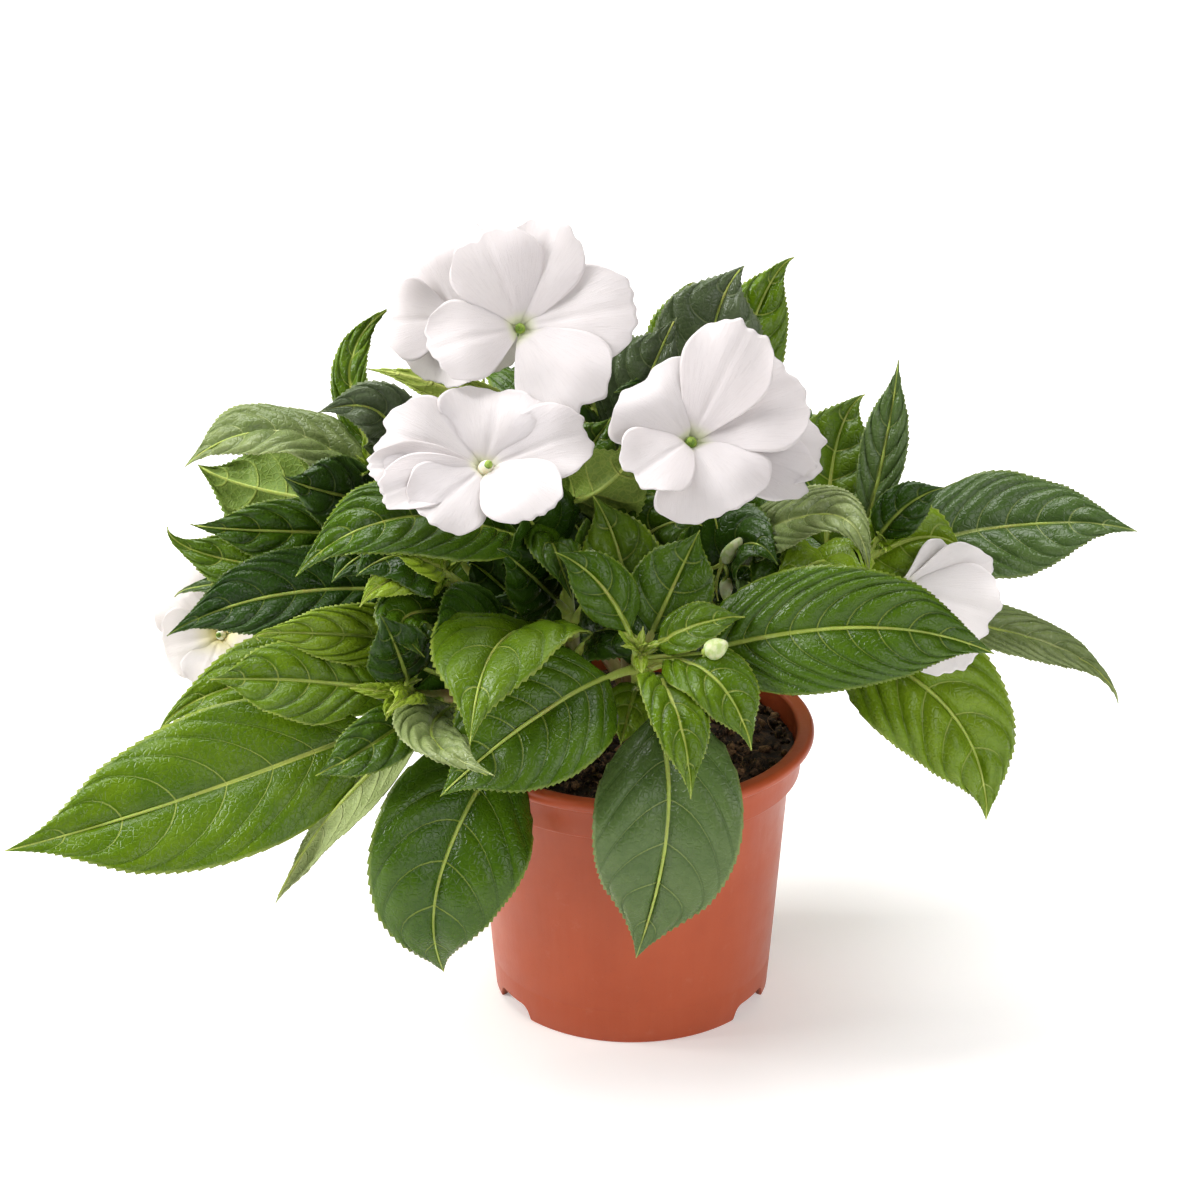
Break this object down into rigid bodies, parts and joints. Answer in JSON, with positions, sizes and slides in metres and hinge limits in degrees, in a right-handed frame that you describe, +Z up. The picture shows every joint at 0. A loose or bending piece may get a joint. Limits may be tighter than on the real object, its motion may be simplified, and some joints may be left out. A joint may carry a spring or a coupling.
{
  "type": "potted new guinea impatiens",
  "caption": "Bushy flowering balcony plant with quilted leaves and white five-petalled flowers, standing in a round nursery pot of peat.",
  "frame": {"origin": "middle of the pot's flat underside, on the surface that it stands on", "axes": "+Z up, -Y towards the viewer, +X to the viewer's right and along the plant's greatest spread"},
  "size_m": [0.3643, 0.2467, 0.2707],
  "materials": {
    "pot_plastic": "satin",
    "peat": "matte",
    "stem_skin": "satin",
    "leaf_blade": "satin",
    "petal": "matte"
  },
  "bodies": {
    "root": {"pot": "pot_plastic", "soil": "peat", "stem_front": "stem_skin", "stem_left": "stem_skin", "stem_right": "stem_skin", "stem_back": "stem_skin", "leaf_front_drop": "leaf_blade", "leaf_front_left": "leaf_blade", "leaf_front_right": "leaf_blade", "leaf_front_inner_right": "leaf_blade", "leaf_front_inner_mid": "leaf_blade", "leaf_front_up_right": "leaf_blade", "leaf_front_up_left": "leaf_blade", "leaf_front_up_back": "leaf_blade", "leaf_over_front": "leaf_blade", "leaf_left_curl": "leaf_blade", "leaf_left_big": "leaf_blade", "leaf_left_behind": "leaf_blade", "leaf_left_bright": "leaf_blade", "leaf_left_droop": "leaf_blade", "leaf_left_drop": "leaf_blade", "leaf_left_dark": "leaf_blade", "leaf_back_light": "leaf_blade", "leaf_back_dark": "leaf_blade", "leaf_back_under": "leaf_blade", "leaf_back_top": "leaf_blade", "leaf_back_inner": "leaf_blade", "leaf_back_upright": "leaf_blade", "leaf_back_high": "leaf_blade", "leaf_left_inner": "leaf_blade", "leaf_centre_low": "leaf_blade", "leaf_centre_long": "leaf_blade", "leaf_centre_under": "leaf_blade", "leaf_top_dark_left": "leaf_blade", "leaf_top_dark": "leaf_blade", "leaf_top_light": "leaf_blade", "leaf_top_behind": "leaf_blade", "leaf_right_back": "leaf_blade", "leaf_right_upright": "leaf_blade", "leaf_right_big": "leaf_blade", "leaf_right_near": "leaf_blade", "leaf_right_low": "leaf_blade", "leaf_right_drop": "leaf_blade", "leaf_right_far": "leaf_blade", "leaf_rear_right": "leaf_blade", "leaf_rear_drop": "leaf_blade", "leaf_rear_up": "leaf_blade", "leaf_rear_side": "leaf_blade", "leaf_rear_middle": "leaf_blade", "leaf_rear_left": "leaf_blade", "leaf_rear_left_drop": "leaf_blade", "leaf_rear_left_up": "leaf_blade", "leaf_rear_top": "leaf_blade", "flower_top": "petal", "flower_top_behind": "petal", "flower_left": "petal", "flower_right": "petal", "flower_side": "petal", "flower_far_left": "petal", "flower_back": "petal"}
  },
  "joints": []
}
